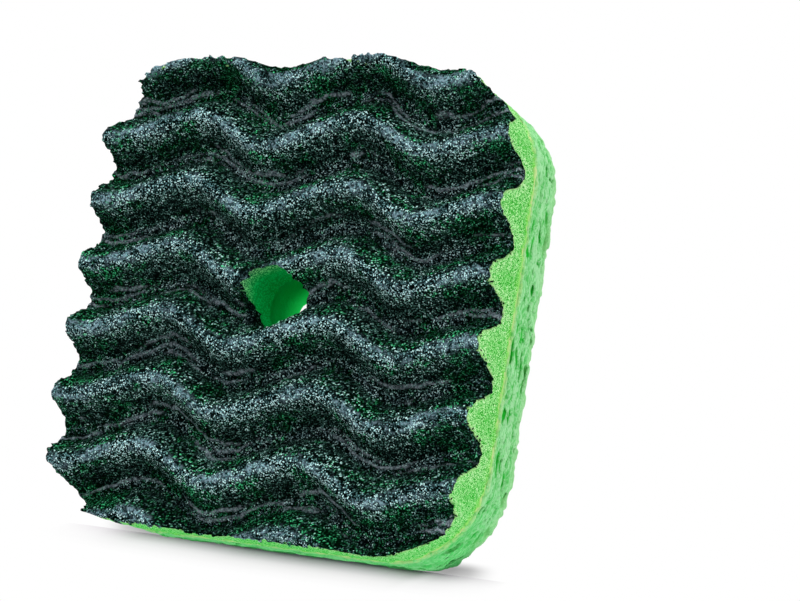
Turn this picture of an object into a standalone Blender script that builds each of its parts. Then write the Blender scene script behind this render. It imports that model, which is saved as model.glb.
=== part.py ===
"""Kitchen sponge with a wavy scouring face: a laminate of four layers, standing on its lower edge.

Units are metres. +Z is up, the scouring face looks along -Y, and the cellulose face looks along +Y.
The origin is under the middle of the sponge, on the surface that it stands on.
"""

import math

import bmesh
import bpy

# Outline that all four layers are die-cut to
WIDTH = 0.1005
HEIGHT = 0.105
CORNER_RADIUS = 0.0213
CORNER_SEGMENTS = 12

# Layers, from the crests of the scouring face to the cellulose face
THICKNESS = 0.0297
CREST_COAT_THICKNESS = 0.0009
VALLEY_COAT_THICKNESS = 0.003
COAT_POOLING = 1.5
BOND_THICKNESS = 0.0005
CELLULOSE_THICKNESS = 0.0121
LAYER_GAP = 0.0003
RIM_ROUNDING = 0.0009
RIM_SEGMENTS = 2

# Ridges of the scouring face: seven to the height, swaying up and down across the width
RIDGE_PITCH = HEIGHT / 7
RIDGE_DEPTH = 0.0078
MIDDLE_CREST_RISE = 0.0068
MIDDLE_CREST_HEIGHT = HEIGHT / 2 + MIDDLE_CREST_RISE
FLANK_WIDTH = 0.0066
FLANK_ROUNDNESS = 1.15
VALLEY_RIB_HEIGHT = 0.0005
CREST_SAG = 0.0006
SWAY_HEIGHT = 0.0033
SWAY_PERIOD = 0.0395
SWAY_PEAK_X = 0.014
SWAY_SKEW = 0.23
SWAY_FADE = 0.35
SLOPE_STEP = 0.00006

# Round hole through all layers
HOLE_DIAMETER = 0.0142
HOLE_X = -0.001
HOLE_Z = HEIGHT / 2
HOLE_SEGMENTS = 32

# Mesh of the ridged surfaces
STEPS_PER_RIDGE = 10
RIDGES_IN_GRID = 9
COLUMN_COUNT = 24
GRID_MARGIN = 0.0038

# How far a cutter reaches past what it cuts
CUTTER_REACH = 0.01

FRONT_Y = -THICKNESS / 2
BACK_Y = THICKNESS / 2
CELLULOSE_FRONT_Y = BACK_Y - CELLULOSE_THICKNESS
BOND_BACK_Y = CELLULOSE_FRONT_Y - LAYER_GAP
BOND_FRONT_Y = BOND_BACK_Y - BOND_THICKNESS
FOAM_BACK_Y = BOND_FRONT_Y - LAYER_GAP


def clear_scene():
    for old in list(bpy.data.objects):
        bpy.data.objects.remove(old, do_unlink=True)


def new_collection(name):
    collection = bpy.data.collections.new(name)
    bpy.context.scene.collection.children.link(collection)
    return collection


def new_material(name, colour, roughness):
    material = bpy.data.materials.new(name)
    material.use_nodes = True
    shader = material.node_tree.nodes["Principled BSDF"]
    shader.inputs["Base Color"].default_value = (*colour, 1.0)
    shader.inputs["Roughness"].default_value = roughness
    shader.inputs["Metallic"].default_value = 0.0
    material.diffuse_color = (*colour, 1.0)
    return material


def object_from_bmesh(shape, name, collection):
    mesh = bpy.data.meshes.new(name)
    bmesh.ops.recalc_face_normals(shape, faces=shape.faces)
    shape.to_mesh(mesh)
    shape.free()
    result = bpy.data.objects.new(name, mesh)
    collection.objects.link(result)
    return result


def round_edges(shape, edges, radius, segments):
    bmesh.ops.bevel(shape, geom=edges, offset=radius, segments=segments, profile=0.5, affect="EDGES")


def rounded_square(front_y, back_y):
    """The shape of a plate with the die-cut outline, between two depths."""
    shape = bmesh.new()
    bmesh.ops.create_cube(shape, size=1.0)
    bmesh.ops.scale(shape, verts=shape.verts, vec=(WIDTH, back_y - front_y, HEIGHT))
    bmesh.ops.translate(shape, verts=shape.verts, vec=(0.0, (front_y + back_y) / 2, HEIGHT / 2))
    corners = [edge for edge in shape.edges if edge.verts[0].co.y != edge.verts[1].co.y]
    round_edges(shape, corners, CORNER_RADIUS, CORNER_SEGMENTS)
    return shape


def rim_at_depth(shape, y):
    return [edge for edge in shape.edges if all(abs(point.co.y - y) < LAYER_GAP for point in edge.verts)]


def crest_sway(x):
    """How far the crest lines lie above their mean height at x. They sway less towards the sides."""
    turn = 2 * math.pi * (x - SWAY_PEAK_X) / SWAY_PERIOD
    fade = 1 - SWAY_FADE * (x / (WIDTH / 2)) ** 4
    return SWAY_HEIGHT * fade * math.cos(turn + SWAY_SKEW * (1 - math.cos(turn)))


def flank_drop(distance):
    """Depth below the crests, at a distance up or down from the nearest crest line."""
    turn = math.pi * (min(distance, FLANK_WIDTH) / FLANK_WIDTH) ** FLANK_ROUNDNESS
    return RIDGE_DEPTH * (1 - math.cos(turn)) / 2


def rib_height(distance):
    """Height of the low rib along the middle of a valley."""
    half_floor = RIDGE_PITCH / 2 - FLANK_WIDTH
    turn = math.pi * min(RIDGE_PITCH / 2 - distance, half_floor) / half_floor
    return VALLEY_RIB_HEIGHT * (1 + math.cos(turn)) / 2


def coat_front(distance):
    return FRONT_Y + flank_drop(distance) - rib_height(distance)


def coat_back(distance):
    """The coat is thin on the crests, and has pooled in the valleys."""
    pooled = (flank_drop(distance) / RIDGE_DEPTH) ** COAT_POOLING
    thickness = CREST_COAT_THICKNESS + (VALLEY_COAT_THICKNESS - CREST_COAT_THICKNESS) * pooled
    return FRONT_Y + flank_drop(distance) + thickness


def foam_front(distance):
    """The foam follows the coat's back, with the layer gap measured square to the surface."""
    rise = coat_back(distance + SLOPE_STEP) - coat_back(max(distance - SLOPE_STEP, 0.0))
    return coat_back(distance) + LAYER_GAP * math.hypot(1.0, rise / (2 * SLOPE_STEP))


def foam_back(distance):
    return FOAM_BACK_Y


def row_rise(part):
    """Height of a row above its ridge's middle line, at a part of the way from one crest to the next.

    The crests hang below the middle of their ridges, so that the undersides are the steeper sides.
    """
    if part < 0.5:
        return part * RIDGE_PITCH - CREST_SAG * (1 - 2 * part)
    return part * RIDGE_PITCH - CREST_SAG * (2 * part - 1)


def ridged_slab(name, front, back, collection):
    """A slab larger than the outline, whose rows of faces follow the swaying ridges.

    front and back give the slab's two depths at a distance from the nearest crest line.
    """
    rows = STEPS_PER_RIDGE * RIDGES_IN_GRID
    shape = bmesh.new()
    bmesh.ops.create_grid(shape, x_segments=COLUMN_COUNT, y_segments=rows, size=1.0)
    front_faces = list(shape.faces)
    back_part = bmesh.ops.extrude_face_region(shape, geom=front_faces, use_keep_orig=True)["geom"]
    back_points = {point for point in back_part if isinstance(point, bmesh.types.BMVert)}
    for point in shape.verts:
        row = round((point.co.y + 1) / 2 * rows) - rows // 2
        ridge, step = divmod(row, STEPS_PER_RIDGE)
        part = step / STEPS_PER_RIDGE
        distance = min(part, 1 - part) * RIDGE_PITCH
        x = point.co.x * (WIDTH / 2 + GRID_MARGIN)
        z = MIDDLE_CREST_HEIGHT + ridge * RIDGE_PITCH + row_rise(part) + crest_sway(x)
        depth = back if point in back_points else front
        point.co = (x, depth(distance), z)
    return object_from_bmesh(shape, name, collection)


def hole_cutter(collection):
    shape = bmesh.new()
    bmesh.ops.create_cone(
        shape,
        cap_ends=True,
        segments=HOLE_SEGMENTS,
        radius1=HOLE_DIAMETER / 2,
        radius2=HOLE_DIAMETER / 2,
        depth=THICKNESS + 2 * CUTTER_REACH,
    )
    cutter = object_from_bmesh(shape, "hole_cutter", collection)
    cutter.location = (HOLE_X, 0.0, HOLE_Z)
    cutter.rotation_euler = (math.pi / 2, 0.0, 0.0)
    return cutter


def hide_cutter(cutter):
    cutter.hide_render = True
    cutter.display_type = "WIRE"


def cut(target, cutter, operation, name):
    modifier = target.modifiers.new(name, "BOOLEAN")
    modifier.operation = operation
    modifier.solver = "EXACT"
    modifier.object = cutter


def make_cellulose_block(parts, hole):
    shape = rounded_square(CELLULOSE_FRONT_Y, BACK_Y)
    round_edges(shape, rim_at_depth(shape, BACK_Y), RIM_ROUNDING, RIM_SEGMENTS)
    block = object_from_bmesh(shape, "cellulose_block", parts)
    cut(block, hole, "DIFFERENCE", "hole")
    block.data.materials.append(new_material("light_green_cellulose", (0.16, 0.62, 0.2), 0.85))


def make_bond_film(parts, hole):
    film = object_from_bmesh(rounded_square(BOND_FRONT_Y, BOND_BACK_Y), "bond_film", parts)
    cut(film, hole, "DIFFERENCE", "hole")
    film.data.materials.append(new_material("pale_yellow_adhesive", (0.6, 0.8, 0.35), 0.5))


def make_foam_core(parts, outline, hole):
    foam = ridged_slab("foam_core", foam_front, foam_back, parts)
    cut(foam, outline, "INTERSECT", "die_cut")
    cut(foam, hole, "DIFFERENCE", "hole")
    foam.data.materials.append(new_material("yellow_green_foam", (0.25, 0.75, 0.12), 0.9))


def make_scouring_coat(parts, outline, hole):
    coat = ridged_slab("scouring_coat", coat_front, coat_back, parts)
    cut(coat, outline, "INTERSECT", "die_cut")
    cut(coat, hole, "DIFFERENCE", "hole")
    coat.data.materials.append(new_material("charcoal_abrasive", (0.02, 0.035, 0.035), 0.6))


def main():
    clear_scene()
    parts = new_collection("kitchen_sponge")
    cutters = new_collection("cutters")
    outline_shape = rounded_square(FRONT_Y - CUTTER_REACH, BACK_Y + CUTTER_REACH)
    outline = object_from_bmesh(outline_shape, "outline_cutter", cutters)
    hole = hole_cutter(cutters)
    hide_cutter(outline)
    hide_cutter(hole)
    make_cellulose_block(parts, hole)
    make_bond_film(parts, hole)
    make_foam_core(parts, outline, hole)
    make_scouring_coat(parts, outline, hole)


main()
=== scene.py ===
"""Looks of a kitchen sponge: a charcoal scouring coat over waves of green foam, bonded to pored cellulose.

Every layer is modelled as a block of cells that hold a signed distance, negative inside, and is then
given a skin. Units are metres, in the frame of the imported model: +Z up, the scouring face towards -Y.
"""

import math

import bpy
import numpy as np
import openvdb
from mathutils import Matrix, Vector


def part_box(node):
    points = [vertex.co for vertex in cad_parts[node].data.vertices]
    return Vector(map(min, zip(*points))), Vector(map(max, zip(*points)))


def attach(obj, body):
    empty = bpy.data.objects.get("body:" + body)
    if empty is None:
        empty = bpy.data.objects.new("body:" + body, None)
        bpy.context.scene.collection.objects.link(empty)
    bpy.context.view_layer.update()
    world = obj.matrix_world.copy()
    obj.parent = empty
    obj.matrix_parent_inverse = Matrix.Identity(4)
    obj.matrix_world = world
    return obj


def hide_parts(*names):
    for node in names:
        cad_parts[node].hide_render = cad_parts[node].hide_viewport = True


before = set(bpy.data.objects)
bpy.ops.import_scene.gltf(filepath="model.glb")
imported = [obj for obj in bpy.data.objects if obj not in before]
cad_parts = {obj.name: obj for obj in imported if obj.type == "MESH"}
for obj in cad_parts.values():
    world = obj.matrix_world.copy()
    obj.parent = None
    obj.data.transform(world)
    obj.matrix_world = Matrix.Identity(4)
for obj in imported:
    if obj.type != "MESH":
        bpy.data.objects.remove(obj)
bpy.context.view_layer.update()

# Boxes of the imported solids, and the corner radius of their common outline
COAT_LOW, COAT_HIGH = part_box("scouring_coat")
CELLULOSE_LOW, CELLULOSE_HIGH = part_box("cellulose_block")
BOND_LOW, BOND_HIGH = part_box("bond_film")
WIDTH = COAT_HIGH.x - COAT_LOW.x
HEIGHT = COAT_HIGH.z - COAT_LOW.z
FRONT_Y = COAT_LOW.y
BACK_Y = CELLULOSE_HIGH.y
CORNER_RADIUS = 0.0213

# Ridges of the scouring face and the round hole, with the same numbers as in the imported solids
CREST_COAT_THICKNESS = 0.0009
VALLEY_COAT_THICKNESS = 0.003
COAT_POOLING = 1.5
RIDGE_PITCH = HEIGHT / 7
RIDGE_DEPTH = 0.0078
MIDDLE_CREST_RISE = 0.0068
MIDDLE_CREST_HEIGHT = HEIGHT / 2 + MIDDLE_CREST_RISE
FLANK_WIDTH = 0.0066
FLANK_ROUNDNESS = 1.15
VALLEY_RIB_HEIGHT = 0.0005
CREST_SAG = 0.0006
SWAY_HEIGHT = 0.0033
SWAY_PERIOD = 0.0395
SWAY_PEAK_X = 0.014
SWAY_SKEW = 0.23
SWAY_FADE = 0.35
HOLE_RADIUS = 0.0071
HOLE_X = -0.001
HOLE_Z = HEIGHT / 2

# How far cut ridge ends swell over the upper edge, how much further near one place, and from which height on
TOP_SWELLING = 0.0005
MORE_SWELLING = 0.0013
MORE_SWELLING_X = 0.017
MORE_SWELLING_WIDTH = 0.007
RIDGE_END_HALF_HEIGHT = 0.004
TOP_SWELLING_START = 0.09
TOP_SWELLING_RISE = 0.008

# How far the lower corner swells, in which direction from its centre, and over what angle, in radians
CORNER_SWELLING = 0.0009
CORNER_SWELLING_TURN = -1.1
CORNER_SWELLING_SPREAD = 0.24

# Cells of the blocks, the cells of margin round them, and the band of cells beside a skin that hold distances
CELL = 0.0004
BOND_CELL = 0.00035
MARGIN_CELLS = 5
BAND_CELLS = 3

# Waves that a noise is made of, by how many there are to its size: the middle of the band and its width
NOISE_MIDDLE = 0.5
NOISE_WIDTH = 0.35

# The hair's breadth that is left between two layers, and the most triangles of a skin
LAYER_GAP = 0.00006
MOST_TRIANGLES = 195000
MOST_TRIANGLES_OF_BOND = 24000

# Grit on the coat, and its folds: a seed, the height above the valley's middle, and how much of it shows
GRIT_HEIGHT = 0.00014
FOLDS = ((15, 0.0, 0.55), (16, 0.0016, 0.1), (17, -0.0015, 0.0))
FOLD_DEPTH = 0.0005
FOLD_HALF_WIDTH = 0.0003

# Pores of the face and of the cut sides: radius, and how many places are tried for it. Crowding is the least
# distance between two, in parts of their radii. Those of the face from the smallest dish up are wide and
# shallow. Those of the sides may lie closer to each other across the layer, by the squeeze.
FACE_PORES = ((0.0044, 26), (0.0033, 70), (0.0024, 200), (0.0017, 500), (0.0012, 900), (0.0008, 2400))
SIDE_PORES = ((0.0034, 90), (0.0025, 200), (0.0018, 400), (0.0012, 800), (0.0008, 1200))
FACE_CROWDING = 0.95
SIDE_CROWDING = 1.0
SMALLEST_DISH = 0.0014
SIDE_SQUEEZE = 3.0

# A distance that means no pore nearby, and how far past its radius a warped pore may reach
FAR_AWAY = 0.01
MOST_WARP = 0.0015

# The camera, fitted to the sponge's outline in the photograph
CAMERA_PLACE = (0.2076, -0.3739, -0.0243)
CAMERA_RIGHT = (0.89933, 0.40671, 0.1606)
CAMERA_UP = (-0.06469, -0.23948, 0.96874)
CAMERA_FORWARD = (-0.43246, 0.88161, 0.18906)
LENS_MM = 88.38
SENSOR_WIDTH_MM = 36.0
NEAREST_SEEN = 0.01

# Suns: name, the way the light goes, strength, and how wide the source looks, in degrees
SUNS = (
    ("key_light", (0.25, 0.5, -0.85), 1.6, 30.0),
    ("side_light", (-0.9, 0.28, -0.3), 1.05, 50.0),
    ("rear_light", (-0.08, -0.9, -0.3), 1.5, 50.0),
    ("light_off_the_table", (-0.15, 0.5, 1.0), 0.9, 90.0),
)

# Strength of the white world as a light
WORLD_LIGHT = 0.5

# The floors' reach, how bright the tabletop is by itself, and how far the photograph's ground leans against
# the sponge's own upright, in degrees
FLOOR_REACH = 3.0
TABLETOP_GLOW = 0.2
GROUND_LEAN = 18.5

# Shade on the leaning ground. How white the ground is goes by the distance in front of the foot, in parts of
# the shade's reach, and by the place from left to right, in parts of the shaded width. How far the shade
# draws back goes by that place as well. Behind the foot, the shade ends between two distances.
FOOT_REACH = 0.024
WHITE_BY_DISTANCE = (
    (0.0, 0.0), (0.05, 0.02), (0.125, 0.165), (0.19, 0.304), (0.29, 0.506),
    (0.417, 0.747), (0.54, 0.873), (0.725, 0.962), (0.9, 1.0),
)
GROUND_HALF_WIDTH = 0.062
WHITE_ACROSS = (
    (0.016, 1.0), (0.073, 0.72), (0.113, 0.5), (0.137, 0.3), (0.194, 0.0),
    (0.806, 0.0), (0.847, 0.35), (0.879, 0.65), (0.927, 1.0),
)
MOST_DRAWN_BACK = 0.006
DRAWN_BACK_ACROSS = (
    (0.048, 0.9), (0.113, 0.83), (0.21, 0.5), (0.339, 0.28), (0.427, 0.07),
    (0.532, 0.0), (0.765, 0.0), (0.79, 0.38), (0.83, 0.42), (0.87, 0.6),
)
NO_SHADE_BEHIND = -0.013
FULL_SHADE_BEHIND = -0.005

# Low upright cards just behind the foot, which carry the shade on under the rounded corners. A card's height
# stands for several times as much ground, and its shade fades towards its outer end. Each has a name, its two
# ends, and how far its shade slants sideways with the height.
CORNER_DARKNESS = 0.64
CARD_OFFSET = 0.0003
CARD_HEIGHT = 0.0035
CARD_SHORTENING = 3.79
CARD_FADE_START = 0.043
CARD_FADE_END = 0.051
CORNER_CARDS = (
    ("shade_under_right_corner", 0.022, 0.051, 1.63),
    ("shade_under_left_corner", -0.051, -0.022, 2.41),
)

# Colours of the ground in the middle and at the foot's ends, and of the tabletop
GROUND_IN_MIDDLE = (0.68, 0.28, 0.66, 1.0)
GROUND_AT_ENDS = (0.45, 0.32, 0.45, 1.0)
TABLETOP = (0.8, 0.8, 0.8, 1.0)
BLACK = (0.0, 0.0, 0.0, 1.0)
WHITE = (1.0, 1.0, 1.0, 1.0)

# Share of pale grains in the coat, from the middle of one valley to the next, and how strongly they show.
# The shares are partly the coat's own and partly painted shade: fewest on the undersides of the ridges.
GRAIN_AND_SHADE_SHARES = (
    (0.0, 0.26), (0.07, 0.26), (0.15, 0.12), (0.25, 0.15), (0.34, 0.33), (0.44, 0.53),
    (0.5, 0.43), (0.57, 0.28), (0.64, 0.24), (0.76, 0.2), (0.9, 0.18), (1.0, 0.26),
)
GRAIN_STRENGTH = 5.6

# Colours of the coat. Its pale grains are partly the grit's own colour and partly painted glints, the
# strongest most.
FLANK_GRAIN = (0.33, 0.8, 0.68, 1.0)
CREST_GRAIN = (0.37, 0.86, 0.9, 1.0)
VALLEY_GRAIN = (0.44, 0.78, 0.82, 1.0)
BRIGHTEST_GRAIN_AND_GLINT = (0.7, 1.0, 1.0, 1.0)
GREEN_GRAIN = (0.08, 0.74, 0.3, 1.0)
RESIN = (0.0006, 0.0025, 0.0022, 1.0)
GREEN_RESIN = (0.0004, 0.006, 0.002, 1.0)
# Film on the crests: pale partly in its own colour and partly as a painted sheen
DARK_FILM = (0.02, 0.05, 0.065, 1.0)
PALE_FILM_AND_SHEEN = (0.27, 0.41, 0.48, 1.0)
DARK_FOLD = (0.1, 0.14, 0.17, 1.0)
PALE_FOLD = (0.42, 0.5, 0.56, 1.0)

# Colours of the foam. The hole's wall has hollow and raised places, near the coat and deeper inside.
FOAM_STOPS = (
    (0.0, (0.008, 0.32, 0.008)),
    (0.25, (0.05, 0.55, 0.04)),
    (0.55, (0.29, 0.82, 0.24)),
    (1.0, (0.7, 1.0, 0.56)),
)
# Painted light: the foam's downward sides greener and brighter
FOAM_LIT_FROM_BELOW = (0.07, 0.85, 0.12, 1.0)
FOAM_AT_COAT = (0.6, 0.95, 0.4, 1.0)
FOAM_AT_BOND = (0.3, 0.88, 0.1, 1.0)
RESIN_CRUMB = (0.006, 0.02, 0.008, 1.0)
NEAR_HOLLOW = (0.01, 0.2, 0.06, 1.0)
DEEP_HOLLOW = (0.003, 0.44, 0.085, 1.0)
NEAR_RAISED = (0.38, 0.95, 0.42, 1.0)
DEEP_RAISED = (0.004, 0.68, 0.17, 1.0)

# Colours of the adhesive
GREENISH_GLUE = (0.36, 0.86, 0.2, 1.0)
YELLOWISH_GLUE = (0.66, 0.82, 0.36, 1.0)
GLUE_IN_HOLE = (0.0012, 0.48, 0.1, 1.0)

# Colours of the cellulose, and how a point's depth below the surface is scaled to read them. Deeper in the
# dishes and pores the colour is darker and greener, as painted shade.
DARK_FACE = (0.045, 0.5, 0.085, 1.0)
PALE_FACE = (0.21, 0.74, 0.24, 1.0)
FACE_WEB = (0.42, 0.86, 0.34, 1.0)
DISH_SCALE = 380.0
DISH_SHADE_STOPS = (
    (0.0, (0.16, 0.68, 0.18)),
    (0.12, (0.09, 0.58, 0.12)),
    (0.35, (0.03, 0.48, 0.07)),
    (0.8, (0.008, 0.33, 0.04)),
)
SIDE_SCALE = 250.0
SIDE_PORE_SHADE_STOPS = (
    (0.0, (0.13, 0.64, 0.15)),
    (0.04, (0.1, 0.62, 0.12)),
    (0.09, (0.015, 0.58, 0.03)),
    (0.6, (0.006, 0.48, 0.02)),
)
SIDE_WEB = (0.46, 0.89, 0.47, 1.0)
# Painted light on the cut sides that look down
SIDE_LIT_FROM_BELOW = (0.07, 0.8, 0.17, 1.0)
# Pale rim of the face: partly the skin's own and partly a painted highlight
PALE_RIM_AND_HIGHLIGHT = (0.5, 0.88, 0.46, 1.0)
# Painted contact shade along the foot
FOOT_CONTACT_SHADE = (0.01, 0.16, 0.03, 1.0)
CELLULOSE_AT_BOND = (0.6, 0.85, 0.34, 1.0)
HOLE_WALL = (0.0012, 0.5, 0.1, 1.0)
HOLE_EXIT = (0.02, 0.92, 0.18, 1.0)

# Walls of the cellulose's cells on the face: size of the cells, width of the walls, and strength
FACE_WALLS = ((0.0034, 0.12, 0.85), (0.0016, 0.2, 0.65), (0.0007, 0.2, 0.4))


class Block:
    """Cubic cells that fill a box and a margin round it, with the coordinates of their centres."""

    def __init__(self, low, high, cell=CELL):
        self.cell = cell
        self.low = np.array(low, dtype=np.float64) - MARGIN_CELLS * cell
        counts = np.ceil((np.array(high) - self.low) / cell).astype(int) + MARGIN_CELLS + 1
        self.shape = tuple(counts)
        axes = [self.low[i] + cell * np.arange(counts[i]) for i in range(3)]
        self.x = axes[0].astype(np.float32)[:, None, None]
        self.y = axes[1].astype(np.float32)[None, :, None]
        self.z = axes[2].astype(np.float32)[None, None, :]

    def noise(self, size, seed, stretch=(1.0, 1.0, 1.0), flat=False):
        """Smooth random bumps of about one size, with mean 0 and spread 1.

        A flat noise is the same at every depth.
        """
        shape = (self.shape[0], 1, self.shape[2]) if flat else self.shape
        values = np.random.default_rng(seed).standard_normal(shape, dtype=np.float32)
        waves = [np.fft.fftfreq(shape[0], self.cell)[:, None, None] * stretch[0]]
        waves.append(np.fft.fftfreq(shape[1], self.cell)[None, :, None] * stretch[1])
        waves.append(np.fft.rfftfreq(shape[2], self.cell)[None, None, :] * stretch[2])
        pace = np.sqrt(waves[0] ** 2 + waves[1] ** 2 + waves[2] ** 2) * size
        spectrum = np.fft.rfftn(values) * np.exp(-(((pace - NOISE_MIDDLE) / NOISE_WIDTH) ** 2))
        values = np.fft.irfftn(spectrum, shape).astype(np.float32)
        return values / values.std()

    def swaying_noise(self, size, seed, stretch):
        """A flat noise whose streaks follow the crests up and down."""
        values = self.noise(size, seed, stretch, flat=True)
        heights = self.z.ravel()
        for column, sway in zip(values[:, 0], crest_sway(self.x.ravel())):
            column[:] = np.interp(heights - sway, heights, column)
        return values

    def sample(self, values, points):
        """The values at points between the cells."""
        values = np.broadcast_to(values, self.shape)
        place = (points - self.low) / self.cell
        place = np.clip(place, 0, np.array(values.shape) - 1.001)
        corner = place.astype(int)
        part = (place - corner).astype(np.float32)
        total = np.zeros(len(points), np.float32)
        for step in np.ndindex(2, 2, 2):
            weight = np.prod(np.where(step, part, 1 - part), axis=1)
            total += weight * values[tuple((corner + step).T)]
        return total


def smooth_max(a, b, softness):
    """The larger of two, with the crease between them rounded off."""
    h = np.clip(0.5 + 0.5 * (a - b) / softness, 0, 1)
    return b + (a - b) * h + softness * h * (1 - h)


def bell(value, width):
    """One where the value is zero, and nearly zero further than twice the width from there."""
    return np.exp(-((value / width) ** 2))


def outline_distance(x, z, inset=0.0):
    """Distance outside the die-cut outline, a rounded square."""
    reach_x = np.abs(x) - (WIDTH / 2 - inset - CORNER_RADIUS)
    reach_z = np.abs(z - HEIGHT / 2) - (HEIGHT / 2 - inset - CORNER_RADIUS)
    outside = np.hypot(np.maximum(reach_x, 0), np.maximum(reach_z, 0))
    return outside + np.minimum(np.maximum(reach_x, reach_z), 0) - CORNER_RADIUS


def hole_distance(x, z):
    """Distance inside the wall of the round hole."""
    return HOLE_RADIUS - np.hypot(x - HOLE_X, z - HOLE_Z)


def crest_sway(x):
    """How far the crest lines lie above their mean height at x. They sway less towards the sides."""
    turn = 2 * math.pi * (x - SWAY_PEAK_X) / SWAY_PERIOD
    fade = 1 - SWAY_FADE * (x / (WIDTH / 2)) ** 4
    return SWAY_HEIGHT * fade * np.cos(turn + SWAY_SKEW * (1 - np.cos(turn)))


def ridge_offset(x, z):
    """Height above the middle of the nearest ridge, from minus to plus half a pitch."""
    place = (z - MIDDLE_CREST_HEIGHT - crest_sway(x)) / RIDGE_PITCH
    return (place - np.round(place)) * RIDGE_PITCH


def crest_distance(x, z):
    """Distance up or down from the nearest crest line. The crests hang below the middle of their ridges."""
    offset = ridge_offset(x, z)
    half = RIDGE_PITCH / 2
    above = (offset + CREST_SAG) / (half + CREST_SAG)
    below = (-offset - CREST_SAG) / (half - CREST_SAG)
    return half * np.maximum(above, below)


def valley_height(x, z):
    """Height above the middle of the nearest valley."""
    offset = ridge_offset(x, z)
    return offset - np.sign(offset) * RIDGE_PITCH / 2


def flank_drop(x, z):
    """Depth below the crests, without the rib along the valleys."""
    turn = math.pi * (np.minimum(crest_distance(x, z), FLANK_WIDTH) / FLANK_WIDTH) ** FLANK_ROUNDNESS
    return RIDGE_DEPTH * (1 - np.cos(turn)) / 2


def rib_height(x, z):
    """Height of the low rib along the middle of a valley."""
    half_floor = RIDGE_PITCH / 2 - FLANK_WIDTH
    turn = math.pi * np.minimum(RIDGE_PITCH / 2 - crest_distance(x, z), half_floor) / half_floor
    return VALLEY_RIB_HEIGHT * (1 + np.cos(turn)) / 2


def coat_depth(x, z):
    """Thickness of the coat along the depth: thin on the crests, pooled in the valleys."""
    pooled = (flank_drop(x, z) / RIDGE_DEPTH) ** COAT_POOLING
    return CREST_COAT_THICKNESS + (VALLEY_COAT_THICKNESS - CREST_COAT_THICKNESS) * pooled


def top_bulge(x, z):
    """How far the cut end of a ridge swells over the upper edge of the outline."""
    height = TOP_SWELLING + MORE_SWELLING * bell(x - MORE_SWELLING_X, MORE_SWELLING_WIDTH)
    near_top = np.clip((z - TOP_SWELLING_START) / TOP_SWELLING_RISE, 0, 1)
    return height * bell(ridge_offset(x, z), RIDGE_END_HALF_HEIGHT) * near_top


def downwards(x, z):
    """One where the cut side looks straight down, and zero from where it looks level."""
    return np.clip((CORNER_RADIUS - z) / CORNER_RADIUS, 0, 1)


def corner_bulge(x, z):
    """How far the soft back swells out of the outline at the lower corner on the +X side."""
    turn = np.arctan2(z - CORNER_RADIUS, x - WIDTH / 2 + CORNER_RADIUS)
    return CORNER_SWELLING * bell(turn - CORNER_SWELLING_TURN, CORNER_SWELLING_SPREAD)


def ridge_stretch(x, z):
    """How much longer a way along the depth is than the way square to the ridged surface."""
    step = 0.0002
    drop = flank_drop(x, z)
    slope_x = (flank_drop(x + step, z) - drop) / step
    slope_z = (flank_drop(x, z + step) - drop) / step
    return np.sqrt(1 + slope_x**2 + slope_z**2)


def main_shell(points, faces):
    """Which points belong to the largest connected skin."""
    label = np.arange(len(points))
    corners = np.concatenate(faces)
    while True:
        least = label[corners].min(axis=1)
        new = label.copy()
        for k in range(corners.shape[1]):
            np.minimum.at(new, corners[:, k], least)
        new = new[new]
        if np.array_equal(new, label):
            break
        label = new
    counts = np.bincount(label)
    return label == counts.argmax()


def skin(name, block, distance, adaptivity, most_triangles=MOST_TRIANGLES):
    """A closed mesh where the distance is zero. Returns the object and its points."""
    band = BAND_CELLS * block.cell
    grid = openvdb.FloatGrid(band)
    grid.copyFromArray(np.ascontiguousarray(np.clip(distance, -band, band), dtype=np.float32))
    points, triangles, quads = grid.convertToPolygons(isovalue=0.0, adaptivity=adaptivity)
    points = points.astype(np.float64) * block.cell + block.low
    triangles = np.asarray(triangles, dtype=np.int64).reshape(-1, 3)
    quads = np.asarray(quads, dtype=np.int64).reshape(-1, 4)
    padded_triangles = np.concatenate([triangles, triangles[:, 2:]], axis=1)
    keep = main_shell(points, [padded_triangles, quads])
    triangles = triangles[keep[triangles[:, 0]]]
    quads = quads[keep[quads[:, 0]]]
    renumber = np.cumsum(keep) - 1
    points = points[keep]
    triangles = renumber[triangles]
    quads = renumber[quads]
    mesh = bpy.data.meshes.new(name)
    corner_points = np.concatenate([triangles.ravel(), quads.ravel()]).astype(np.int32)
    sizes = np.concatenate([np.full(len(triangles), 3), np.full(len(quads), 4)])
    mesh.vertices.add(len(points))
    mesh.vertices.foreach_set("co", points.astype(np.float32).ravel())
    mesh.loops.add(len(corner_points))
    mesh.loops.foreach_set("vertex_index", corner_points)
    mesh.polygons.add(len(sizes))
    mesh.polygons.foreach_set("loop_start", (np.cumsum(sizes) - sizes).astype(np.int32))
    mesh.update(calc_edges=True)
    mesh.validate()
    piece = bpy.data.objects.new(name, mesh)
    bpy.context.scene.collection.objects.link(piece)
    count = len(triangles) + 2 * len(quads)
    if count > most_triangles:
        thin_out(piece, most_triangles / count)
    piece.data.shade_smooth()
    points = np.empty(len(piece.data.vertices) * 3, np.float32)
    piece.data.vertices.foreach_get("co", points)
    print(name, count, "triangles, then", len(piece.data.polygons), "faces")
    return piece, points.reshape(-1, 3).astype(np.float64)


def thin_out(piece, share):
    """Merges faces where the surface bends least, and keeps a share of its triangles."""
    full_mesh = piece.data
    modifier = piece.modifiers.new("fewer_faces", "DECIMATE")
    modifier.ratio = share
    thinned = piece.evaluated_get(bpy.context.evaluated_depsgraph_get())
    piece.data = bpy.data.meshes.new_from_object(thinned)
    piece.modifiers.clear()
    bpy.data.meshes.remove(full_mesh)


def remember(piece, name, values):
    """Keeps a number for each point of the mesh, for the material to read."""
    attribute = piece.data.attributes.new(name, "FLOAT", "POINT")
    attribute.data.foreach_set("value", np.asarray(values, dtype=np.float32))


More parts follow.
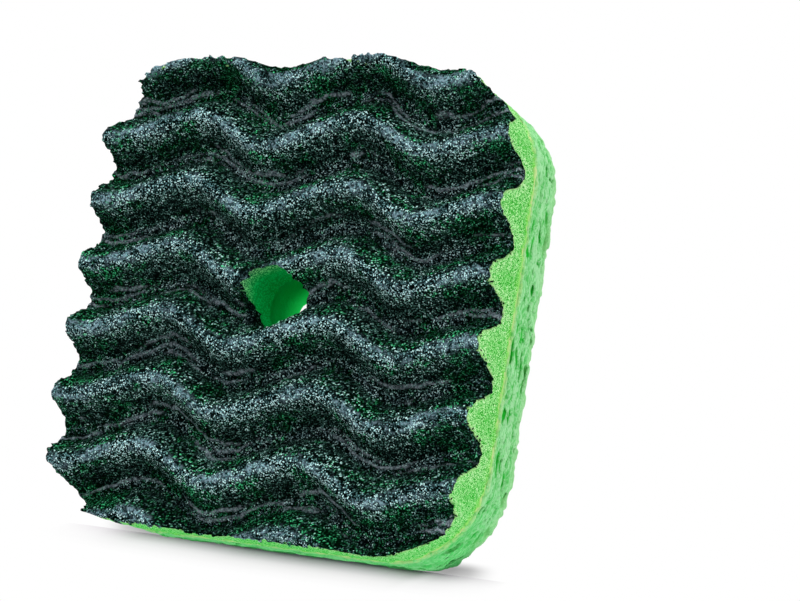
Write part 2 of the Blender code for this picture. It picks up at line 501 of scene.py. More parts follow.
def creases(block):
    """Thin folds of the coat that wander along the valleys, from 0 to 1."""
    height = valley_height(block.x, block.z)
    wander = 0.0005 * block.swaying_noise(0.009, 14, (1.0, 1.0, 1.0))
    wander = wander + 0.0002 * block.noise(0.0025, 18, flat=True)
    total = np.zeros((block.shape[0], 1, block.shape[2]), np.float32)
    for seed, shift, share in FOLDS:
        strength = np.clip(share + 0.8 * block.swaying_noise(0.012, seed, (1.6, 1.0, 0.4)), 0, 1)
        total = np.maximum(total, strength * bell(height - wander - shift, FOLD_HALF_WIDTH))
    return total


def coat_thickness(block):
    """The coat's thickness: uneven at the cut edges, thinner at the outline, and a little more inside."""
    from_edge = -np.maximum(outline_distance(block.x, block.z), hole_distance(block.x, block.z))
    inside = np.clip((from_edge - 0.0006) / 0.0014, 0, 1)
    uneven = 0.00038 * block.noise(0.0011, 11, flat=True) + 0.0002 * block.noise(0.004, 12, flat=True)
    thinner = 0.00012 * (hole_distance(block.x, block.z) < -0.004)
    uneven = np.maximum(uneven - thinner, -0.0001 - thinner)
    return coat_depth(block.x, block.z) + uneven * (1 - inside) + 0.0006 * inside


def layer_block():
    """One block for the coat and the foam, so that the face between them is the same in both."""
    low = (COAT_LOW.x, FRONT_Y, 0.0)
    high = (COAT_HIGH.x, BOND_LOW.y, HEIGHT + 0.0025)
    return Block(low, high)


def make_coat(block):
    drop = flank_drop(block.x, block.z)
    stretch = ridge_stretch(block.x, block.z)
    lumps = 0.0002 * block.noise(0.003, 1, flat=True)
    streaks = 0.00012 * block.swaying_noise(0.0011, 2, (6.0, 1.0, 1.0))
    grit = GRIT_HEIGHT * block.noise(0.001, 3)
    fold = creases(block)
    hollow = np.minimum(lumps + streaks, 0.0002) - rib_height(block.x, block.z) * 0.6 - FOLD_DEPTH * fold
    front = (FRONT_Y + drop + hollow - block.y) / stretch + np.minimum(grit, 0.00016)
    back = (block.y - FRONT_Y - drop - coat_thickness(block) + LAYER_GAP) / stretch
    ragged = 0.0002 * block.noise(0.0014, 4) + 0.00015 * block.noise(0.005, 9) + grit
    edge = outline_distance(block.x, block.z, inset=-0.0001) - top_bulge(block.x, block.z)
    edge = edge + np.minimum(ragged, 0.0001)
    hole = hole_distance(block.x, block.z + 0.0005) - 0.00035 + 0.00025 * block.noise(0.0022, 5) + grit
    cut = np.maximum(edge, hole)
    distance = np.maximum(smooth_max(front, cut, 0.0006), back)
    piece, points = skin("scouring_coat_grit", block, distance, 0.01)
    x, y, z = points.T
    remember(piece, "phase", (ridge_offset(x, z) + CREST_SAG) / RIDGE_PITCH)
    remember(piece, "crease", block.sample(fold, points))
    remember(piece, "edge", -outline_distance(x, z))
    # Painted shade on the coat's lip left of the hole, and on the cut walls by their depth behind the front
    shaded_lip = np.clip((hole_distance(x, z) + 0.0016) / 0.001, 0, 1)
    remember(piece, "shaded_lip", shaded_lip * np.clip((HOLE_X + 0.001 - x) / 0.004, 0, 1))
    remember(piece, "buried", (y - FRONT_Y - flank_drop(x, z)) / ridge_stretch(x, z))
    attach(piece, "root")
    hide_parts("scouring_coat")
    return piece


def make_foam(block):
    drop = flank_drop(block.x, block.z)
    stretch = ridge_stretch(block.x, block.z)
    cells = 0.0001 * block.noise(0.001, 6)
    front = (FRONT_Y + drop + coat_thickness(block) + LAYER_GAP - block.y) / stretch
    back = block.y - (BOND_LOW.y - LAYER_GAP)
    bulge = top_bulge(block.x, block.z) * np.clip(1 - (block.y - FRONT_Y) / 0.012, 0, 1)
    edge = outline_distance(block.x, block.z) - bulge + 0.00012 * block.noise(0.003, 7) + cells
    hole = hole_distance(block.x, block.z) + cells
    distance = np.maximum(np.maximum(front, back), np.maximum(edge, hole))
    piece, points = skin("foam_waves", block, distance, 0.02)
    x, y, z = points.T
    behind_coat = y - FRONT_Y - flank_drop(x, z) - coat_depth(x, z)
    remember(piece, "behind_coat", behind_coat / ridge_stretch(x, z))
    remember(piece, "hole_depth", behind_coat + 0.006 * np.clip(0.3 - (z - HOLE_Z) / 0.004, 0, 1))
    remember(piece, "before_bond", BOND_LOW.y - y)
    remember(piece, "downwards", downwards(x, z))
    remember(piece, "hole", hole_distance(x, z))
    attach(piece, "root")
    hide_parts("foam_core")
    return piece


def make_bond():
    block = Block((COAT_LOW.x, BOND_LOW.y, 0.0), (COAT_HIGH.x, BOND_HIGH.y, HEIGHT), BOND_CELL)
    front = BOND_LOW.y - block.y
    back = block.y - BOND_HIGH.y
    edge = outline_distance(block.x, block.z) + 0.00012 * block.noise(0.003, 8, flat=True)
    hole = hole_distance(block.x, block.z)
    distance = np.maximum(np.maximum(front, back), np.maximum(edge, hole))
    piece, points = skin("bond_line", block, distance, 0.3, MOST_TRIANGLES_OF_BOND)
    remember(piece, "hole", hole_distance(points[:, 0], points[:, 2]))
    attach(piece, "root")
    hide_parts("bond_film")
    return piece


class Pores:
    """Ellipsoid hollows in a block, kept as the distance outside the nearest one."""

    def __init__(self, block):
        self.block = block
        self.away = np.full(block.shape, FAR_AWAY, np.float32)
        self.warp = []
        for axis in range(3):
            wide = block.noise(0.005, 31 + axis)
            self.warp.append(0.0004 * wide + 0.0002 * block.noise(0.0022, 35 + axis))

    def add(self, centre, axes, radii):
        """Cuts one hollow, with a radius along each of its three axes."""
        block = self.block
        cell = np.round((centre - block.low) / block.cell).astype(int)
        reach = math.ceil((max(radii) + MOST_WARP) / block.cell)
        first = np.maximum(cell - reach, 0)
        last = np.minimum(cell + reach + 1, block.shape)
        part = tuple(slice(a, b) for a, b in zip(first, last))
        x = block.x[part[0]] - centre[0] + self.warp[0][part]
        y = block.y[:, part[1]] - centre[1] + self.warp[1][part]
        z = block.z[:, :, part[2]] - centre[2] + self.warp[2][part]
        scaled = np.zeros_like(x)
        steep = np.zeros_like(x)
        for axis, radius in zip(axes, radii):
            along = (axis[0] * x + axis[1] * y + axis[2] * z) / radius
            scaled = scaled + along**2
            steep = steep + (along / radius) ** 2
        scaled = np.sqrt(scaled)
        away = scaled * (scaled - 1) / np.maximum(np.sqrt(steep), 1e-6)
        self.away[part] = np.minimum(self.away[part], away)


def scatter(random, sizes, low, high, crowding):
    """Places and radii of rounds in a rectangle. The large ones come first, and none covers another."""
    places = np.empty((0, 2))
    radii = np.empty(0)
    for radius, tries in sizes:
        for place in random.uniform(low, high, (tries, 2)):
            own = radius * random.uniform(0.8, 1.2)
            if np.all(np.hypot(*(places - place).T) > crowding * (radii + own)):
                places = np.vstack([places, place])
                radii = np.append(radii, own)
    return places, radii


def carve_face(pores, random):
    """Wide shallow dishes and small deep pores in the flat back."""
    low, high = (COAT_LOW.x, 0.0), (COAT_HIGH.x, HEIGHT)
    places, radii = scatter(random, FACE_PORES, low, high, FACE_CROWDING)
    for (x, z), radius in zip(places, radii):
        turn = random.uniform(0, math.pi)
        narrow = random.uniform(0.65, 1.0)
        if radius > SMALLEST_DISH:
            deep = random.uniform(0.0006, 0.0011)
            kept_off = radius + 0.0004
        else:
            deep = random.uniform(0.6, 1.0) * radius
            kept_off = 0.0008 + 0.5 * radius
        sunk = random.uniform(-0.1, 0.25) * deep
        if hole_distance(x, z) > -0.001 - radius or outline_distance(x, z) > -kept_off:
            continue
        axes = ((math.cos(turn), 0, math.sin(turn)), (0, 1, 0), (-math.sin(turn), 0, math.cos(turn)))
        centre = np.array([x, BACK_Y + 0.0004 - sunk, z])
        pores.add(centre, axes, (radius, deep, narrow * radius))


def outline_point(part):
    """The point at a part of the way round the outline, and the direction square to it, outwards."""
    turn = 2 * math.pi * part
    ray = np.array([math.cos(turn), math.sin(turn)])
    near, far = 0.0, HEIGHT
    halvings = 24
    for _ in range(halvings):
        middle = (near + far) / 2
        if outline_distance(ray[0] * middle, HEIGHT / 2 + ray[1] * middle) < 0:
            near = middle
        else:
            far = middle
    x, z = ray[0] * near, HEIGHT / 2 + ray[1] * near
    step = 0.0001
    slope_x = outline_distance(x + step, z) - outline_distance(x - step, z)
    slope_z = outline_distance(x, z + step) - outline_distance(x, z - step)
    size = math.hypot(slope_x, slope_z)
    return x, z, slope_x / size, slope_z / size


def carve_sides(pores, random):
    """Long narrow pores in the cut sides, which lie along the layer."""
    round_length = 2 * (WIDTH + HEIGHT) - (8 - 2 * math.pi) * CORNER_RADIUS
    high = (round_length, SIDE_SQUEEZE * (BACK_Y - BOND_HIGH.y))
    places, radii = scatter(random, SIDE_PORES, (0.0, 0.0), high, SIDE_CROWDING)
    for (along, deep), radius in zip(places, radii):
        x, z, out_x, out_z = outline_point(along / round_length)
        y = BOND_HIGH.y + deep / SIDE_SQUEEZE
        narrow = min(radius * random.uniform(0.26, 0.42), 0.0008)
        inwards = random.uniform(0.35, 0.6) * radius
        sunk = random.uniform(-0.2, 0.5) * inwards
        lean = random.normal(0.0, 0.07)
        if min(y - BOND_HIGH.y, BACK_Y - y) < narrow + 0.0004:
            continue
        axes = ((-out_z, lean, out_x), (0, 1, 0), (out_x, 0, out_z))
        centre = np.array([x - out_x * sunk, y, z - out_z * sunk])
        pores.add(centre, axes, (radius, narrow, inwards))


def make_cellulose():
    low = (COAT_LOW.x, CELLULOSE_LOW.y, 0.0)
    high = (COAT_HIGH.x, BACK_Y, HEIGHT)
    block = Block(low, high)
    fibres = 0.00005 * block.noise(0.0012, 41)
    front = BOND_HIGH.y + LAYER_GAP - block.y
    back = block.y - BACK_Y - 0.0004 + 0.00012 * block.noise(0.004, 42) + fibres
    near_back = np.clip(1 - (BACK_Y - block.y) / 0.003, 0, 1)
    notches = 0.00022 * near_back * np.maximum(block.noise(0.0014, 44), -0.5)
    edge = outline_distance(block.x, block.z, inset=-0.0002) + 0.0001 * block.noise(0.0035, 43) + fibres
    swollen = np.clip((block.y - BOND_HIGH.y) / 0.005, 0, 1)
    edge = edge + notches - corner_bulge(block.x, block.z) * swollen
    hole = hole_distance(block.x, block.z)
    body = np.maximum(front, np.maximum(smooth_max(back, edge, 0.0009), hole))
    pores = Pores(block)
    random = np.random.default_rng(21)
    carve_face(pores, random)
    carve_sides(pores, random)
    distance = smooth_max(body, -pores.away, 0.0002)
    piece, points = skin("cellulose_pores", block, distance, 0.02)
    x, y, z = points.T
    inside = -outline_distance(x, z)
    remember(piece, "depth", np.minimum(BACK_Y - y, inside))
    remember(piece, "rim", np.hypot(np.maximum(BACK_Y - y, 0), np.maximum(inside, 0)))
    remember(piece, "side", BACK_Y - y - inside)
    remember(piece, "downwards", downwards(x, z))
    remember(piece, "behind_bond", y - BOND_HIGH.y)
    remember(piece, "hole", hole_distance(x, z))
    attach(piece, "root")
    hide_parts("cellulose_block")
    return piece


class Paint:
    """A node material under construction. A node's inputs and outputs go by name or number."""

    def __init__(self, name):
        self.material = bpy.data.materials.new(name)
        self.material.use_nodes = True
        self.tree = self.material.node_tree
        self.shader = self.tree.nodes["Principled BSDF"]
        self.place = self.tree.nodes.new("ShaderNodeTexCoord").outputs["Object"]

    def join(self, node, inputs):
        """Links sockets to the node's inputs, and sets plain values on them."""
        for key, value in inputs.items():
            socket = node.inputs[key]
            if isinstance(value, bpy.types.NodeSocket):
                self.tree.links.new(value, socket)
            else:
                socket.default_value = value

    def add(self, kind, output, inputs, **settings):
        """Makes a node and returns one of its outputs."""
        node = self.tree.nodes.new("ShaderNode" + kind)
        for key, value in settings.items():
            setattr(node, key, value)
        self.join(node, inputs)
        return node.outputs[output]

    def attribute(self, name):
        return self.add("Attribute", "Fac", {}, attribute_name=name)

    def math(self, operation, a, b=0.0, c=0.0):
        return self.add("Math", 0, {0: a, 1: b, 2: c}, operation=operation)

    def span(self, value, low, high, to_low=0.0, to_high=1.0):
        """Goes smoothly from one value to another between low and high, and stays there beyond them."""
        inputs = {"Value": value, "From Min": low, "From Max": high, "To Min": to_low, "To Max": to_high}
        return self.add("MapRange", 0, inputs, interpolation_type="SMOOTHSTEP")

    def stretched(self, scale, place=None):
        return self.add("Mapping", 0, {"Vector": place or self.place, "Scale": scale})

    def bent(self, size, most):
        """The place, pushed about by noise of a size, which makes round patterns irregular."""
        push = self.add("TexNoise", "Color", {"Vector": self.place, "Scale": 1 / size, "Detail": 2.0})
        push = self.add("VectorMath", 0, {0: push, 1: (-0.5,) * 3}, operation="ADD")
        push = self.add("VectorMath", 0, {0: push, 1: (most,) * 3}, operation="MULTIPLY")
        return self.add("VectorMath", 0, {0: self.place, 1: push}, operation="ADD")

    def noise(self, size, detail=2.0, place=None):
        inputs = {"Vector": place or self.place, "Scale": 1 / size, "Detail": detail, "Roughness": 0.6}
        return self.add("TexNoise", "Fac", inputs)

    def grains(self, size, output="Color", place=None):
        """Cells of about one size, each of one random colour, or the distance from their middles."""
        inputs = {"Vector": place or self.place, "Scale": 1 / size}
        return self.add("TexVoronoi", output, inputs)

    def specks(self, size, wide, narrow, place=None, least=0.1):
        """Soft round spots, each with its own random brightness from the least one up to one."""
        distance = self.grains(size, "Distance", place)
        chance = self.add("SeparateColor", 0, {0: distance.node.outputs["Color"]})
        chance = self.math("MULTIPLY_ADD", self.math("MULTIPLY", chance, chance), 1 - least, least)
        return self.math("MULTIPLY", self.span(distance, wide, narrow), chance)

    def walls(self, size, place, width):
        """One on the walls between cells of about one size, and zero inside them."""
        inputs = {"Vector": place, "Scale": 1 / size}
        away = self.add("TexVoronoi", "Distance", inputs, feature="DISTANCE_TO_EDGE")
        return self.span(away, width, 0.0)

    def mix(self, share, a, b):
        return self.add("Mix", 2, {0: share, 6: a, 7: b}, data_type="RGBA")

    def ramp(self, value, stops):
        """Colour by a value. Each stop has a position and its colour."""
        node = self.tree.nodes.new("ShaderNodeValToRGB")
        self.join(node, {0: value})
        ramp = node.color_ramp
        while len(ramp.elements) < len(stops):
            ramp.elements.new(1.0)
        for element, (position, colour) in zip(ramp.elements, stops):
            element.position = position
            element.color = (*colour, 1.0)
        return node.outputs[0]

    def grey_ramp(self, value, stops):
        return self.ramp(value, [(position, (grey,) * 3) for position, grey in stops])

    def bump(self, height, distance, strength=1.0, normal=None):
        inputs = {"Height": height, "Distance": distance, "Strength": strength}
        if normal:
            inputs["Normal"] = normal
        return self.add("Bump", 0, inputs)

    def finish(self, piece, **inputs):
        self.join(self.shader, {key.replace("_", " "): value for key, value in inputs.items()})
        piece.data.materials.append(self.material)


def paint_coat(piece):
    """Dark resin full of pale grains, partly painted glints. The share of grains, and their tint, change from
    crest to crest, with painted shade under each ridge.
    """
    paint = Paint("charcoal_grit")
    phase = paint.attribute("phase")
    place = paint.math("ADD", phase, 0.5)
    # Share of grains across the ridges, with painted shade on their undersides
    grain_and_shade_share = paint.grey_ramp(place, GRAIN_AND_SHADE_SHARES)
    crest = paint.span(paint.math("ABSOLUTE", phase), 0.16, 0.03)
    valley = paint.span(paint.math("ABSOLUTE", phase), 0.38, 0.46)
    patch = paint.span(paint.noise(0.007), 0.3, 0.7, 0.6, 1.4)
    small_patch = paint.span(paint.noise(0.0016), 0.32, 0.68, 0.4, 1.6)
    grain_and_shade_share = paint.math("MULTIPLY", paint.math("MULTIPLY", grain_and_shade_share, patch), small_patch)
    near_edge = paint.span(paint.attribute("edge"), 0.016, 0.0)
    breaks = paint.span(paint.noise(0.0013, 3.0), 0.3, 0.52, 0.3, 1.0)
    crease = paint.math("MULTIPLY", paint.attribute("crease"), breaks)
    crease = paint.math("MULTIPLY", crease, paint.math("SUBTRACT", 1.0, paint.attribute("shaded_lip")))
    crease = paint.span(crease, 0.1, 0.5)
    crumbs = paint.noise(0.0005, 4.0, paint.stretched((0.7, 1.0, 1.0)))
    crease = paint.math("MULTIPLY", crease, paint.span(crumbs, 0.4, 0.56, 0.25, 1.0))
    # Film on the crests, whose pale tone is partly a painted sheen
    film = paint.noise(0.0034, 6.0, paint.stretched((0.6, 1.0, 1.0)))
    film = paint.span(paint.math("MULTIPLY_ADD", near_edge, 0.06, film), 0.48, 0.6)
    film = paint.math("MULTIPLY", film, paint.span(paint.noise(0.0012, 5.0), 0.4, 0.56, 0.1, 1.0))
    film = paint.math("MULTIPLY", film, crest)
    bare = paint.math("MAXIMUM", film, crease)
    grain_and_shade_share = paint.math("MULTIPLY", grain_and_shade_share, paint.span(bare, 0.0, 1.0, 1.0, 0.7))
    grain_and_shade_share = paint.math("MULTIPLY", grain_and_shade_share, paint.span(near_edge, 0.3, 1.0, 1.0, 0.7))
    # Painted shade: fewer pale grains on the cut walls and on the hole's left lip
    buried = paint.span(paint.attribute("buried"), 0.0004, 0.001)
    buried = paint.math("MAXIMUM", buried, paint.attribute("shaded_lip"))
    grain_and_shade_share = paint.math("MULTIPLY", grain_and_shade_share, paint.span(buried, 0.0, 1.0, 1.0, 0.2))
    upper = paint.math("MULTIPLY", paint.span(phase, 0.01, 0.06), paint.span(phase, 0.42, 0.3))
    bent = paint.bent(0.0008, 0.0007)
    specks = paint.specks(0.00038, 0.54, 0.25, bent, least=0.04)
    long_specks = paint.specks(0.0004, 0.54, 0.24, paint.stretched((1.0, 0.3, 1.0), bent), least=0.02)
    specks = paint.math("MULTIPLY_ADD", paint.math("SUBTRACT", long_specks, specks), upper, specks)
    share = paint.math("MULTIPLY", paint.math("MULTIPLY", specks, grain_and_shade_share), GRAIN_STRENGTH)
    share = paint.math("MINIMUM", share, 1.0)
    # Pale grains, tinted across the ridges; the strongest turn near white as painted glints
    pale = paint.mix(crest, FLANK_GRAIN, CREST_GRAIN)
    pale = paint.mix(valley, pale, VALLEY_GRAIN)
    pale = paint.mix(paint.span(share, 0.35, 1.0), pale, BRIGHTEST_GRAIN_AND_GLINT)
    patch_of_green = paint.span(paint.noise(0.008), 0.42, 0.66, -0.2, 0.5)
    above = paint.math("MULTIPLY", paint.span(phase, 0.03, 0.12), paint.span(phase, 0.5, 0.2))
    greenness = paint.math("MULTIPLY_ADD", near_edge, 0.42, patch_of_green)
    greenness = paint.math("MULTIPLY_ADD", above, 0.12, greenness)
    greenness = paint.math("MULTIPLY_ADD", crest, -0.6, greenness)
    chance = paint.add("SeparateColor", 1, {0: paint.grains(0.0007)})
    is_green = paint.span(paint.math("ADD", chance, greenness), 0.6, 1.2)
    pale = paint.mix(is_green, pale, GREEN_GRAIN)
    dark = paint.mix(is_green, RESIN, GREEN_RESIN)
    rough = paint.span(paint.noise(0.0006, 5.0, bent), 0.4, 0.6)
    dark = paint.mix(paint.math("MULTIPLY", film, 0.85), dark, paint.mix(rough, DARK_FILM, PALE_FILM_AND_SHEEN))
    dark = paint.mix(paint.math("MULTIPLY", crease, 0.8), dark, paint.mix(rough, DARK_FOLD, PALE_FOLD))
    colour = paint.mix(share, dark, pale)
    normal = paint.bump(paint.noise(0.0012, 4.0), 0.0006, 0.8)
    normal = paint.bump(specks, 0.00015, 0.6, normal)
    paint.finish(piece, Base_Color=colour, Roughness=0.6, Specular_IOR_Level=0.0, Normal=normal)


def paint_foam(piece):
    """Fine open cells: pale walls on a green ground, paler towards the coat, yellowish at the bond, greener
    and brighter on the downward sides as painted light.
    """
    paint = Paint("green_foam")
    specks = paint.specks(0.00027, 0.8, 0.25, paint.stretched((1.2, 0.65, 1.45)), least=0.3)
    behind = paint.attribute("behind_coat")
    level = paint.span(behind, 0.006, 0.001, 1.1, 1.6)
    shade = paint.math("MULTIPLY_ADD", paint.noise(0.0005, 2.0), 1.1, -0.55)
    shade = paint.math("MULTIPLY_ADD", paint.noise(0.0012), 0.25, shade)
    colour = paint.ramp(paint.math("MULTIPLY_ADD", specks, level, shade), FOAM_STOPS)
    # Painted light on the downward sides
    colour = paint.mix(paint.math("MULTIPLY", paint.attribute("downwards"), 0.4), colour, FOAM_LIT_FROM_BELOW)
    at_coat = paint.span(behind, 0.0009, 0.0002, 0.0, 0.4)
    colour = paint.mix(at_coat, colour, FOAM_AT_COAT)
    at_bond = paint.span(paint.attribute("before_bond"), 0.0025, 0.0, 0.0, 0.55)
    at_bond = paint.math("MULTIPLY", at_bond, paint.span(paint.noise(0.0016), 0.35, 0.6, 0.3, 1.0))
    colour = paint.mix(at_bond, colour, FOAM_AT_BOND)
    share = paint.span(behind, 0.0, 0.0012, 0.15, 0.0)
    chance = paint.add("SeparateColor", 1, {0: paint.grains(0.0005)})
    colour = paint.mix(paint.math("LESS_THAN", chance, share), colour, RESIN_CRUMB)
    inside = paint.span(paint.attribute("hole"), -0.0015, -0.0004)
    deep = paint.span(paint.attribute("hole_depth"), 0.0, 0.007)
    hollow = paint.mix(deep, NEAR_HOLLOW, DEEP_HOLLOW)
    raised = paint.mix(deep, NEAR_RAISED, DEEP_RAISED)
    wall_specks = paint.specks(0.0003, 0.8, 0.25, paint.stretched((1.0, 0.6, 1.0)), least=0.2)
    wall = paint.mix(paint.span(wall_specks, 0.05, 0.4), hollow, raised)
    colour = paint.mix(inside, colour, wall)
    normal = paint.bump(specks, 0.00015, 0.4)
    paint.finish(piece, Base_Color=colour, Roughness=0.9, Specular_IOR_Level=0.0, Normal=normal)


def paint_bond(piece):
    """Thin line of glue, blotched with yellow, which takes on the foam's green in the hole."""
    paint = Paint("pale_glue")
    share = paint.span(paint.noise(0.0016), 0.35, 0.65)
    colour = paint.mix(share, GREENISH_GLUE, YELLOWISH_GLUE)
    inside = paint.span(paint.attribute("hole"), -0.001, -0.0003)
    colour = paint.mix(inside, colour, GLUE_IN_HOLE)
    paint.finish(piece, Base_Color=colour, Roughness=0.6, Specular_IOR_Level=0.0)


def paint_cellulose(piece):
    """Pale skin with a web of thin walls, darker green inside the pores as painted shade, and streaked on the
    cut sides.
    """
    paint = Paint("pored_cellulose")
    depth = paint.attribute("depth")
    on_side = paint.span(paint.attribute("side"), -0.001, 0.0025)
    bent = paint.bent(0.002, 0.0016)
    wide_cell = paint.add("SeparateColor", 0, {0: paint.grains(0.0034, place=bent)})
    cell = paint.add("SeparateColor", 0, {0: paint.grains(0.0016, place=bent)})
    tone = paint.math("MULTIPLY_ADD", wide_cell, 0.4, paint.math("MULTIPLY", cell, 0.35))
    tone = paint.math("MULTIPLY_ADD", paint.noise(0.009), 1.2, paint.math("ADD", tone, -0.45))
    plain = paint.mix(tone, DARK_FACE, PALE_FACE)
    # Painted shade: the dishes darker and greener with depth
    dish = paint.ramp(paint.math("MULTIPLY", depth, DISH_SCALE), DISH_SHADE_STOPS)
    face = paint.mix(paint.span(depth, -0.0002, 0.0002), plain, dish)
    breaks = paint.span(paint.noise(0.0013, 3.0), 0.38, 0.56, 0.3, 1.0)
    webs = []
    for size, width, strength in FACE_WALLS:
        webs.append(paint.math("MULTIPLY", paint.walls(size, bent, width), strength))
    web = paint.math("MAXIMUM", paint.math("MAXIMUM", webs[0], webs[1]), webs[2])
    web = paint.math("MULTIPLY", web, breaks)
    fine = paint.span(paint.noise(0.0006, 5.0), 0.46, 0.62, 0.0, 0.5)
    pale = paint.math("MAXIMUM", paint.span(web, 0.1, 0.8, 0.0, 0.8), fine)
    # Painted shade: the pale walls fade deeper down
    pale = paint.math("MULTIPLY", pale, paint.span(depth, 0.0015, -0.0001, 0.25, 1.0))
    face = paint.mix(pale, face, FACE_WEB)
    # Painted shade: the side pores darker and greener with depth, with pale streaks only near the skin
    side = paint.ramp(paint.math("MULTIPLY", depth, SIDE_SCALE), SIDE_PORE_SHADE_STOPS)
    streak = paint.noise(0.0007, 4.0, paint.stretched((0.55, 1.3, 0.55)))
    blotch = paint.noise(0.004, 2.0, paint.stretched((0.4, 1.2, 0.4)))
    streak = paint.math("MULTIPLY_ADD", blotch, 0.6, streak)
    squeezed = paint.add("VectorMath", 0, {0: bent, 1: (0.5, 1.3, 0.5)}, operation="MULTIPLY")
    side_web = paint.walls(0.0013, squeezed, 0.16)
    pale = paint.math("MAXIMUM", paint.span(streak, 0.72, 0.88), paint.math("MULTIPLY", side_web, 0.7))
    skin_share = paint.span(depth, 0.0005, 0.00015, 0.05, 0.85)
    side = paint.mix(paint.math("MULTIPLY", pale, skin_share), side, SIDE_WEB)
    # Painted light: the cut sides greener and brighter where they look down
    side = paint.mix(paint.math("MULTIPLY", paint.attribute("downwards"), 0.5), side, SIDE_LIT_FROM_BELOW)
    colour = paint.mix(on_side, face, side)
    under = paint.span(paint.attribute("downwards"), 0.6, 1.0)
    # Pale rim along the face's edge, partly the skin's own and partly a painted highlight where the edge
    # rounds over; less where the side looks down
    rim = paint.span(paint.attribute("rim"), 0.003, 0.0006, 0.0, 0.4)
    rim = paint.math("MULTIPLY", rim, paint.math("SUBTRACT", 1.0, under))
    colour = paint.mix(rim, colour, PALE_RIM_AND_HIGHLIGHT)
    # Painted contact shade: dark green along the foot, on the downward side near the rim
    foot = paint.math("MULTIPLY", under, paint.span(paint.attribute("rim"), 0.0045, 0.0012, 0.0, 0.85))
    colour = paint.mix(foot, colour, FOOT_CONTACT_SHADE)
    at_bond = paint.span(paint.attribute("behind_bond"), 0.0014, 0.0, 0.0, 0.6)
    at_bond = paint.math("MULTIPLY", at_bond, paint.span(paint.noise(0.0014), 0.35, 0.6, 0.2, 1.0))
    colour = paint.mix(at_bond, colour, CELLULOSE_AT_BOND)
    inside = paint.span(paint.attribute("hole"), -0.001, -0.0003)
    exit_share = paint.span(paint.attribute("behind_bond"), 0.004, 0.012)
    colour = paint.mix(inside, colour, paint.mix(exit_share, HOLE_WALL, HOLE_EXIT))
    height = paint.math("MULTIPLY_ADD", web, 0.9, paint.noise(0.0006, 4.0))
    normal = paint.bump(height, 0.0003, 0.8)
    paint.finish(piece, Base_Color=colour, Roughness=0.85, Specular_IOR_Level=0.0, Normal=normal)


def make_camera():
    """Stands where the photograph was taken from."""
    data = bpy.data.cameras.new("camera")
    data.sensor_width = SENSOR_WIDTH_MM
    data.lens = LENS_MM
    data.clip_start = NEAREST_SEEN
    camera = bpy.data.objects.new("camera", data)
    turn = Matrix((CAMERA_RIGHT, CAMERA_UP, [-value for value in CAMERA_FORWARD])).transposed()
    camera.matrix_world = Matrix.Translation(CAMERA_PLACE) @ turn.to_4x4()
    bpy.context.scene.collection.objects.link(camera)
    bpy.context.scene.camera = camera


def make_plane(name, corners):
    mesh = bpy.data.meshes.new(name)
    mesh.from_pydata(corners, [], [(0, 1, 2, 3)])
    plane = bpy.data.objects.new(name, mesh)
    bpy.context.scene.collection.objects.link(plane)
    return plane


def paint_floor(plane, kind, slant=0.0):
    """Pale floor that looks white to the camera, keeps the shadow, and lets light pass to the sponge.

    Each shows only from its upper side, and a card from its front. The leaning ground fades to white away
    from the sponge's foot, and has less green of its own, because the foot throws green light on it. A card
    takes its shade from the same ramps, and only darkens what lies beyond it.
    """
    paint = Paint(plane.name)
    tree = paint.tree
    seen = tree.nodes.new("ShaderNodeLightPath").outputs["Is Camera Ray"]
    white = tree.nodes.new("ShaderNodeEmission").outputs[0]
    clear = tree.nodes.new("ShaderNodeBsdfTransparent").outputs[0]
    above = paint.math("SUBTRACT", 1.0, tree.nodes.new("ShaderNodeNewGeometry").outputs["Backfacing"])
    lit = paint.shader.outputs[0]
    if kind == "tabletop":
        colour = TABLETOP
        glow = paint.add("Emission", 0, {"Color": WHITE, "Strength": TABLETOP_GLOW})
        lit = paint.add("AddShader", 0, {0: lit, 1: glow})
    else:
        place_x, place_y, place_z = paint.add("SeparateXYZ", 0, {0: paint.place}).node.outputs
        if kind == "ground":
            from_foot = paint.math("SUBTRACT", BACK_Y, place_y)
        else:
            from_foot = paint.math("MULTIPLY", place_z, -CARD_SHORTENING)
        along = paint.math("MULTIPLY_ADD", place_z, -slant, place_x)
        across = paint.math("MULTIPLY_ADD", along, 0.5 / GROUND_HALF_WIDTH, 0.5)
        from_middle = paint.math("ABSOLUTE", place_x)
        drawn_back = paint.math("MULTIPLY", paint.grey_ramp(across, DRAWN_BACK_ACROSS), MOST_DRAWN_BACK)
        distance = paint.math("MULTIPLY", paint.math("ADD", from_foot, drawn_back), 1 / FOOT_REACH)
        shade = paint.math("SUBTRACT", 1.0, paint.grey_ramp(distance, WHITE_BY_DISTANCE))
        beside = paint.math("SUBTRACT", 1.0, paint.grey_ramp(across, WHITE_ACROSS))
        shade = paint.math("MULTIPLY", shade, beside)
        shade = paint.math("MULTIPLY", shade, paint.span(from_foot, NO_SHADE_BEHIND, FULL_SHADE_BEHIND))
        if kind == "ground":
            colour = paint.mix(paint.span(from_middle, 0.02, 0.034), GROUND_IN_MIDDLE, GROUND_AT_ENDS)
            lit = paint.add("MixShader", 0, {0: shade, 1: white, 2: lit})
        else:
            colour = BLACK
            shade = paint.math("MULTIPLY", shade, paint.span(from_middle, CARD_FADE_END, CARD_FADE_START))
            above = paint.math("MULTIPLY", paint.math("MULTIPLY", above, shade), CORNER_DARKNESS)
    surface = paint.add("MixShader", 0, {0: paint.math("MULTIPLY", seen, above), 1: clear, 2: lit})
    tree.links.new(surface, tree.nodes["Material Output"].inputs["Surface"])
    paint.finish(plane, Base_Color=colour, Roughness=0.9, Specular_IOR_Level=0.0)


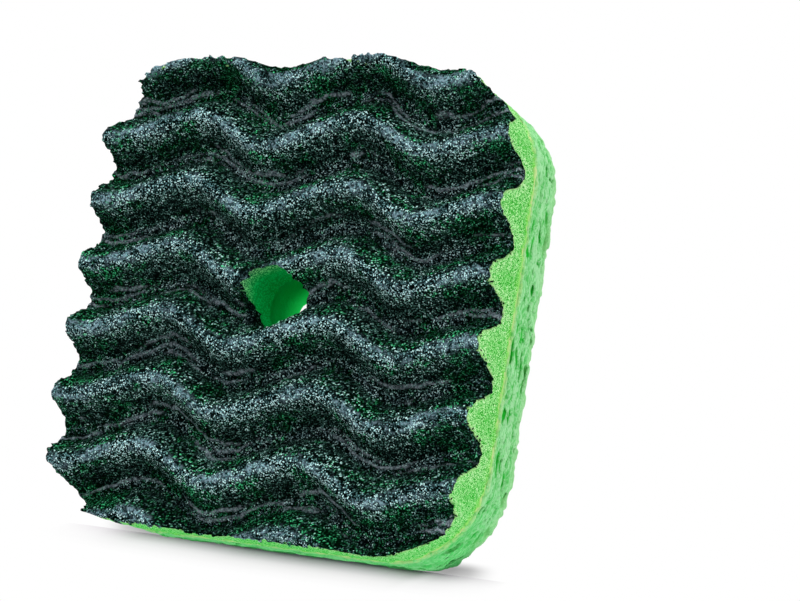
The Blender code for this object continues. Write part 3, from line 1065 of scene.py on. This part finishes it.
def make_floors():
    """A level tabletop, the photograph's leaning ground up to the back of the foot, and the two cards."""
    reach = FLOOR_REACH
    corners = [(-reach, -reach, 0.0), (reach, -reach, 0.0), (reach, reach, 0.0), (-reach, reach, 0.0)]
    paint_floor(make_plane("floor", corners), "tabletop")
    low_z = (-reach - BACK_Y) * math.tan(math.radians(GROUND_LEAN))
    corners = [(-reach, -reach, low_z), (reach, -reach, low_z), (reach, BACK_Y, 0.0), (-reach, BACK_Y, 0.0)]
    paint_floor(make_plane("leaning_ground", corners), "ground")
    y = BACK_Y + CARD_OFFSET
    for name, low_x, high_x, slant in CORNER_CARDS:
        corners = [(low_x, y, 0.0), (high_x, y, 0.0), (high_x, y, CARD_HEIGHT), (low_x, y, CARD_HEIGHT)]
        paint_floor(make_plane(name, corners), "card", slant)


def make_sun(name, towards, strength, angle):
    data = bpy.data.lights.new(name, "SUN")
    data.energy = strength
    data.angle = math.radians(angle)
    sun = bpy.data.objects.new(name, data)
    sun.rotation_mode = "QUATERNION"
    sun.rotation_quaternion = Vector(towards).to_track_quat("-Z", "Y")
    bpy.context.scene.collection.objects.link(sun)


def make_world():
    """White to the camera and through clear things, and dimmer as a light."""
    world = bpy.data.worlds.new("studio")
    world.use_nodes = True
    bpy.context.scene.world = world
    tree = world.node_tree
    background = tree.nodes["Background"]
    background.inputs["Color"].default_value = WHITE
    path = tree.nodes.new("ShaderNodeLightPath")
    seen = tree.nodes.new("ShaderNodeMath")
    seen.operation = "MAXIMUM"
    tree.links.new(path.outputs["Is Camera Ray"], seen.inputs[0])
    tree.links.new(path.outputs["Is Transmission Ray"], seen.inputs[1])
    strength = tree.nodes.new("ShaderNodeMapRange")
    strength.inputs["To Min"].default_value = WORLD_LIGHT
    strength.inputs["To Max"].default_value = 1.0
    tree.links.new(seen.outputs[0], strength.inputs["Value"])
    tree.links.new(strength.outputs[0], background.inputs["Strength"])


bpy.context.scene.view_settings.view_transform = "Standard"
make_camera()
make_world()
make_floors()
for name, towards, strength, angle in SUNS:
    make_sun(name, towards, strength, angle)

layers = layer_block()
paint_coat(make_coat(layers))
paint_foam(make_foam(layers))
paint_bond(make_bond())
paint_cellulose(make_cellulose())
